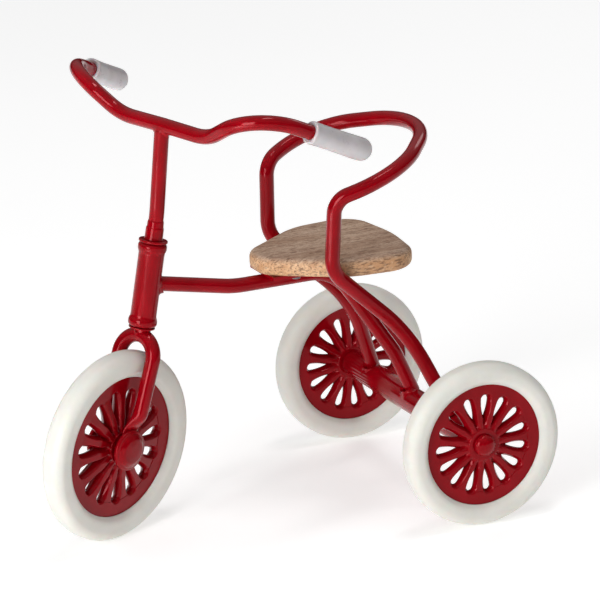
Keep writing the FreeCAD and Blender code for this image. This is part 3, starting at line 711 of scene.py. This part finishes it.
def build_fork():
    """Inverted U whose feet crank inward and are pressed flat into eyes round the axle."""
    crown = Vector((0, 0, FORK_TOP))
    along = (crown - HUB).normalized()
    side = Vector((0, along.z, -along.y))
    knee = HUB + along * FORK_KNEE_RISE + Vector((FORK_GAP, 0, 0))
    foot = HUB + along * FORK_FOOT_RISE + Vector((FORK_FOOT_OUT, 0, 0))
    low = HUB + along * FORK_LOW_RISE + Vector((FORK_LOW_OUT, 0, 0))
    shoulder = crown + Vector((FORK_GAP, 0, 0))
    path = both_sides(bend_path([low, foot, knee, shoulder, crown], FORK_BENDS))
    sides = 40
    points = []
    for i, spot in enumerate(path):
        before = path[max(i - 1, 0)]
        after = path[min(i + 1, len(path) - 1)]
        way = (after - before).normalized()
        across = way.cross(side).normalized()
        height = (spot - HUB).dot(along)
        press = min(max((PRESS_RISE - height) / PRESS_RUN, 0.0), 1.0)
        press = press * press * (3 - 2 * press)
        thick = WIRE + (FOOT_THICK - WIRE) * press
        wide = WIRE + (FOOT_WIDE - WIRE) * press
        for k in range(sides):
            angle = 2 * math.pi * k / sides
            points.append(spot + across * (thick * math.cos(angle))
                          + side * (wide * math.sin(angle)))
    faces = []
    for i in range(len(path) - 1):
        for k in range(sides):
            j = (k + 1) % sides
            a = i * sides
            faces.append((a + k, a + j, a + sides + j, a + sides + k))
    last = (len(path) - 1) * sides
    faces.append(tuple(range(sides))[::-1])
    faces.append(tuple(range(last, last + sides)))
    legs = tidy_mesh(mesh_of(points, faces))
    eye = closed_ring([(PIN, 0), (EYE_RADIUS, 0), (EYE_RADIUS, EYE_THICK), (PIN, EYE_THICK)],
                      0.35, 72)
    shapes = [(legs, STEERED)]
    for turn in (TO_LEFT, TO_RIGHT):
        shapes.append((eye, STEERED @ Matrix.Translation(HUB) @ turn @ at(0, 0, EYE_INNER)))
    piece("fork_wire", shapes, RED, "steering", ["fork"])


def build_caps():
    """Big two-step caps on the front axle and small round domes on the rear one."""
    r = CAP_RADIUS
    front = [(PIN, CAP_BORE), (PIN, 0.0), (r - 0.15, 0.0), (r, 0.25), (r, 0.75), (r - 0.25, 1.0),
             (r - 0.75, 1.12), (r - 0.95, 1.35), (2.8, 1.92), (1.4, 2.08), (0.0, 2.1)]
    front_cap = lathe([(0.0, CAP_BORE)] + rounded(front, 0.3, 5), 96)
    for side, turn in (("left", TO_LEFT), ("right", TO_RIGHT)):
        place = STEERED @ Matrix.Translation(HUB) @ turn @ at(0, 0, EYE_INNER + EYE_THICK)
        piece("front_cap_%s_red" % side, [(front_cap, place)], RED, "steering",
              ["front_cap_" + side])
    dome = [(DOME_RADIUS, 0.0), (DOME_RADIUS, 0.1)]
    for i in range(1, 19):
        angle = math.radians(90 * i / 18)
        dome.append((DOME_RADIUS * math.cos(angle), 0.1 + 1.64 * math.sin(angle)))
    rear_cap = lathe([(0.0, CAP_BORE), (PIN, CAP_BORE), (PIN, 0.0)] + dome, 80)
    outer = HALF_TRACK + REAR_BOSS + BUSH_STAND_OUT + SIDE_CLEARANCE
    for side, turn in (("left", TO_LEFT), ("right", TO_RIGHT)):
        place = LAYOUT @ at(0, 0, REAR_RADIUS) @ turn @ at(0, 0, outer)
        piece("rear_cap_%s_red" % side, [(rear_cap, place)], RED, "frame",
              ["rear_cap_" + side])


# --- wheels --------------------------------------------------------------------------------------

PETALS = 15
LIP_SHARE = 0.742           # shares of a wheel's radius: where its tyre starts,
SLOT_START_SHARE = 0.325    # and where its slots start
SLOT_END_SHARE = 0.592      # and end
SLOT_NOSE = 0.157           # a slot's half width, as a share of its length
PETAL_ROOT = 3.75
RIM_SIDE = 1.3              # half the disc's thickness at its rim
DISH_MARGIN = 0.72          # how far round a slot the disc is pressed in
DISH_FLOOR = 0.22           # half its thickness at the slot's edge
BUSH_RADIUS = 1.6
TYRE_HALF_WIDTH = 2.97
TYRE_SHOULDER = 2.3
FRONT_STOPPED = 5.0         # angles at which the wheels have stopped, in degrees
LEFT_STOPPED = 6.0
RIGHT_STOPPED = 5.0


def slot_half_width(r, start, end):
    """Half the width of a slot at radius r: a point at its start and round at its end."""
    if r <= start or r >= end:
        return 0.0
    nose = (end - start) * SLOT_NOSE
    belly = end - nose
    if r >= belly:
        return nose * math.sqrt(max(1 - ((r - belly) / nose) ** 2, 0.0))
    share = (r - start) / (belly - start)
    return nose * math.sin(share * math.pi / 2) ** 0.85


def slot_distance(point, outline):
    """Shortest distance from a point to the slot's outline."""
    nearest = 1e9
    for start, end in zip(outline, outline[1:]):
        way = end - start
        share = (point - start).dot(way) / way.length_squared
        spot = start + way * min(max(share, 0.0), 1.0)
        nearest = min(nearest, (point - spot).length)
    return nearest


def petal(radius, boss):
    """One petal of a wheel, from one slot's middle line to the next one's, both faces."""
    start = radius * SLOT_START_SHARE
    end = radius * SLOT_END_SHARE
    root = PETAL_ROOT
    lip = radius * LIP_SHARE + 0.38
    ridge_end = end + DISH_MARGIN
    half_pitch = math.pi / PETALS
    radii = [root * (start / root) ** (i / 10) for i in range(10)]
    inner = 26
    for i in range(inner + 1):
        radii.append(start + (end - start) * (1 - math.cos(math.pi * i / inner)) / 2)
    radii += [end + 0.12, end + 0.3, end + 0.5, end + 0.7, ridge_end, ridge_end + 0.5, lip]
    across = 14
    outline = [Vector((root, 0.0))]
    for i in range(49):
        r = start + (end - start) * (1 - math.cos(math.pi * i / 48)) / 2
        angle = slot_half_width(r, start, end) / r
        outline.append(Vector((r * math.cos(angle), r * math.sin(angle))))
    points = []
    grid = {}
    for side in (1, -1):
        for i, r in enumerate(radii):
            gap = slot_half_width(r, start, end)
            edge = gap / r
            crest = boss + (RIM_SIDE - boss) * min((r - root) / (end - root), 1.0) - 0.12
            crest = crest if r < end else RIM_SIDE
            middle = Vector((r * math.cos(half_pitch), r * math.sin(half_pitch)))
            reach = min(DISH_MARGIN, slot_distance(middle, outline))
            for k in range(across + 1):
                t = k / across
                angle = edge + (half_pitch - edge) * t
                spot = Vector((r * math.cos(angle), r * math.sin(angle)))
                share = min(slot_distance(spot, outline) / reach, 1.0)
                depth = (1 - share) ** 1.3
                if r < start:
                    depth *= ((r - root) / (start - root)) ** 0.8
                height = crest - (crest - DISH_FLOOR) * depth
                grid[side, i, k] = len(points)
                points.append((r * math.cos(angle), r * math.sin(angle), side * height))
    faces = []
    rows = len(radii)
    for side in (1, -1):
        for i in range(rows - 1):
            for k in range(across):
                quad = [grid[side, i, k], grid[side, i + 1, k], grid[side, i + 1, k + 1],
                        grid[side, i, k + 1]]
                faces.append(tuple(quad if side > 0 else quad[::-1]))
    for i in range(rows - 1):
        open_here = slot_half_width((radii[i] + radii[i + 1]) / 2, start, end) > 0
        if open_here:
            faces.append((grid[-1, i, 0], grid[-1, i + 1, 0], grid[1, i + 1, 0],
                          grid[1, i, 0]))
    half_count = len(points)
    points += [(x, -y, z) for x, y, z in points]
    faces += [tuple(index + half_count for index in reversed(face)) for face in faces]
    return mesh_of(points, faces), lip


def wheel_disc(radius, boss):
    leaf, lip = petal(radius, boss)
    web = grown(leaf, PETAL_TREE, **{"Petals": PETALS, "Join Distance": 0.004, "Material": RED})
    segments = 120
    hub_side = [(PETAL_ROOT + 0.04, boss - 0.16), (PETAL_ROOT - 0.05, boss - 0.02),
                (PETAL_ROOT - 0.4, boss), (BUSH_RADIUS, boss)]
    hub_profile = hub_side + [(r, -z) for r, z in reversed(hub_side)]
    hub = lathe(rounded(hub_profile, 0.12), segments, closed=True)
    edge = lathe([(lip, RIM_SIDE), (lip, -RIM_SIDE), (lip - 0.6, -RIM_SIDE + 0.05),
                  (lip - 0.6, RIM_SIDE - 0.05)], segments, closed=True)
    return [tidy_mesh(web, 0.002), hub, edge]


def wheel_tyre(radius):
    """Soft-shouldered solid tyre with a small lip over the edge of the disc."""
    lip = radius * LIP_SHARE
    seat = lip + 0.4
    wide = TYRE_HALF_WIDTH
    side = [(seat, RIM_SIDE + 0.01), (lip, RIM_SIDE + 0.01), (lip, RIM_SIDE + 0.45),
            (lip + 0.8, wide - 0.35)]
    shoulder = TYRE_SHOULDER
    corner = Vector((radius - shoulder, wide - shoulder))
    bulge = [(lip + 1.5, wide - 0.06)]
    for i in range(13):
        angle = math.radians(90 - 90 * i / 12)
        bulge.append((corner.x + shoulder * math.cos(angle),
                      corner.y + shoulder * math.sin(angle)))
    upper = rounded(side + bulge[:2], 0.5, 6)[:-1] + bulge[1:]
    profile = upper + [(r, -z) for r, z in reversed(upper)]
    return lathe(profile, 192, closed=True)


def build_wheel(prefix, body, radius, boss, place, turned):
    stopped = place @ Matrix.Rotation(math.radians(turned), 4, "Z")
    disc = [(mesh, stopped) for mesh in wheel_disc(radius, boss)]
    piece(prefix + "_disc_pressed", disc, RED, body, [prefix + "_disc"])
    piece(prefix + "_tyre_white", [(wheel_tyre(radius), place)], TYRE, body,
          [prefix + "_tyre"])


def build_wheels():
    build_wheel("front", "front_wheel", FRONT_RADIUS, FRONT_BOSS,
                STEERED @ Matrix.Translation(HUB) @ TO_LEFT, FRONT_STOPPED)
    for side, sign, turned in (("left", 1, LEFT_STOPPED), ("right", -1, RIGHT_STOPPED)):
        place = LAYOUT @ at(sign * HALF_TRACK, 0, REAR_RADIUS) @ TO_LEFT
        build_wheel("rear_" + side, "rear_wheel_" + side, REAR_RADIUS, REAR_BOSS, place,
                    turned)


# --- seat ----------------------------------------------------------------------------------------

SEAT_CORNERS = [(0.0, -3.4), (17.6, -5.6), (16.3, -22.5), (4.4, -38.9)]
SEAT_ROUNDS = [34.0, 7.5, 16.0, 7.0]
SEAT_EDGE = 1.5


def seat_outline():
    """Rounded triangle, wide behind and narrow in front, as points round its edge."""
    corners = SEAT_CORNERS + [(-x, y) for x, y in reversed(SEAT_CORNERS) if x > 0]
    radii = SEAT_ROUNDS + SEAT_ROUNDS[:0:-1]
    closed = [Vector((x, y, 0)) for x, y in corners]
    middle = (closed[0] + closed[1]) / 2
    loop = [middle] + closed[1:] + closed[:1] + [middle]
    bends = radii[1:] + radii[:1]
    path = bend_path(loop, bends, math.radians(2.5), 1.2)
    return path[:-1]


def build_seat():
    """A level board: rings of points round its outline, set in step by step at the edges."""
    low, high = (Vector(corner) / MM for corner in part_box("seat"))
    outline = seat_outline()
    count = len(outline)
    normals = []
    for i in range(count):
        way = outline[(i + 1) % count] - outline[i - 1]
        normals.append(Vector((way.y, -way.x, 0)).normalized())
    centre = sum(outline, Vector()) / count
    if sum(n.dot(p - centre) for n, p in zip(normals, outline)) < 0:
        normals = [-n for n in normals]
    thick = high.z - low.z
    soft = SEAT_EDGE
    rings = [(soft + 2.0, 0.0), (soft + 0.3, 0.0)]
    rings += [(soft - soft * math.sin(a), soft - soft * math.cos(a))
              for a in (math.radians(90 * i / 8) for i in range(9))]
    rings += [(inset, thick - z) for inset, z in reversed(rings)]
    points = []
    for inset, z in rings:
        for spot, normal in zip(outline, normals):
            moved = spot - normal * inset
            points.append((moved.x, moved.y, z))
    faces = []
    for ring in range(len(rings) - 1):
        a = ring * count
        for i in range(count):
            j = (i + 1) % count
            faces.append((a + i, a + j, a + count + j, a + count + i))
    last = (len(rings) - 1) * count
    faces.append(tuple(range(count)))
    faces.append(tuple(range(last, last + count)))
    board = tidy_mesh(mesh_of(points, faces))
    place = LAYOUT @ at(0, 0, low.z - LAYOUT.translation.z)
    piece("seat_board", [(board, place)], BEECH, "frame", ["seat"])


# --- everything ----------------------------------------------------------------------------------

build_back_loop()
build_main_tube()
build_rear_axle()
build_head_tube()
build_stem()
build_handlebar()
build_grips()
build_fork()
build_caps()
build_wheels()
build_seat()

FINISHES = {"red_paint": RED, "white_tyre": TYRE, "grip": GRIP, "seat_wood": BEECH,
            "steel": STEEL, "bush": BUSH}
for subpart in frame["record"]["subparts"]:
    kept = frame["nodes"][subpart["node"]]
    kept.data.materials.clear()
    kept.data.materials.append(FINISHES[subpart["material_slot"]])


# --- floor, light and camera ---------------------------------------------------------------------

FLOOR_HALF = 4.0
HORIZON_GLOW = (0.1, 0.0)   # height of a direction and the world's strength there
ZENITH_GLOW = (0.85, 0.62)
LIGHT_TARGET = (0.0, 0.0, 0.05)
POOL_SPOT = (0.12, -0.27, 0.0)
CAMERA_AZIMUTH = math.radians(65.852)
CAMERA_ELEVATION = math.radians(17.377)
CAMERA_ROLL = math.radians(-2.179)
CAMERA_RISE = 1.2263        # these three are in rear wheel radii, from the rear axle
CAMERA_SHIFT = -1.3820
CAMERA_DISTANCE = 49.95
FOCAL_LENGTH = 245.2


def build_floor():
    a = FLOOR_HALF
    floor = mesh_of([(-a, -a, 0), (a, -a, 0), (a, a, 0), (-a, a, 0)], [(0, 1, 2, 3)])
    floor.materials.append(pale_floor())
    made = bpy.data.objects.new("floor", floor)
    bpy.context.scene.collection.objects.link(made)


def hang(lamp, spot, target):
    """Hang a lamp at a spot, pointing at its target."""
    made = bpy.data.objects.new(lamp.name, lamp)
    made.location = spot
    made.rotation_euler = (Vector(spot) - Vector(target)).to_track_quat("Z", "Y").to_euler()
    bpy.context.scene.collection.objects.link(made)


def softbox(name, spot, size, power):
    lamp = bpy.data.lights.new(name, "AREA")
    lamp.shape = "RECTANGLE"
    lamp.size, lamp.size_y = size
    lamp.energy = power
    hang(lamp, spot, LIGHT_TARGET)


def floor_pool():
    """A spot lamp that brightens a patch of floor ahead of the tricycle."""
    lamp = bpy.data.lights.new("floor_pool", "SPOT")
    lamp.energy = 200.0
    lamp.spot_size = math.radians(14.0)
    lamp.spot_blend = 0.4
    lamp.shadow_soft_size = 0.02
    hang(lamp, (0.25, -0.85, 0.40), POOL_SPOT)


def build_light():
    """A world that is dark at the horizon and bright overhead, and four lamps."""
    world = bpy.data.worlds.new("studio")
    bpy.context.scene.world = world
    world.use_nodes = True
    tree = world.node_tree
    background = tree.nodes["Background"]
    background.inputs["Color"].default_value = (1.0, 1.0, 1.0, 1.0)
    direction = tree.nodes.new("ShaderNodeTexCoord")
    split = tree.nodes.new("ShaderNodeSeparateXYZ")
    rise = tree.nodes.new("ShaderNodeMapRange")
    for key, number in (("From Min", HORIZON_GLOW[0]), ("From Max", ZENITH_GLOW[0]),
                        ("To Min", HORIZON_GLOW[1]), ("To Max", ZENITH_GLOW[1])):
        rise.inputs[key].default_value = number
    tree.links.new(direction.outputs["Generated"], split.inputs["Vector"])
    tree.links.new(split.outputs["Z"], rise.inputs["Value"])
    tree.links.new(rise.outputs["Result"], background.inputs["Strength"])
    softbox("key_softbox", (0.45, -0.70, 0.25), (0.36, 0.44), 4.5)
    softbox("top_softbox", (0.10, 0.05, 0.90), (0.34, 0.10), 1.3)
    softbox("back_softbox", (-0.35, 0.65, 0.55), (0.20, 0.25), 0.35)
    floor_pool()


def build_camera():
    level = math.cos(CAMERA_ELEVATION)
    back = Vector((math.sin(CAMERA_AZIMUTH) * level, -math.cos(CAMERA_AZIMUTH) * level,
                   math.sin(CAMERA_ELEVATION)))
    right = Vector((math.cos(CAMERA_AZIMUTH), math.sin(CAMERA_AZIMUTH), 0))
    up = back.cross(right)
    tilted_right = right * math.cos(CAMERA_ROLL) + up * math.sin(CAMERA_ROLL)
    tilted_up = up * math.cos(CAMERA_ROLL) - right * math.sin(CAMERA_ROLL)
    rear_axle = LAYOUT.translation + UP * REAR_RADIUS
    spot = rear_axle + (tilted_up * CAMERA_RISE + tilted_right * CAMERA_SHIFT
                        + back * CAMERA_DISTANCE) * REAR_RADIUS
    lens = bpy.data.cameras.new("camera")
    lens.sensor_width = 36.0
    lens.lens = FOCAL_LENGTH
    lens.clip_start = 0.01
    camera = bpy.data.objects.new("camera", lens)
    turn = Matrix((tilted_right, tilted_up, back)).transposed().to_4x4()
    camera.matrix_world = Matrix.Translation(spot * MM) @ turn
    bpy.context.scene.collection.objects.link(camera)
    bpy.context.scene.camera = camera


build_floor()
build_light()
build_camera()
bpy.context.scene.view_settings.view_transform = "Standard"

bpy.context.view_layer.update()
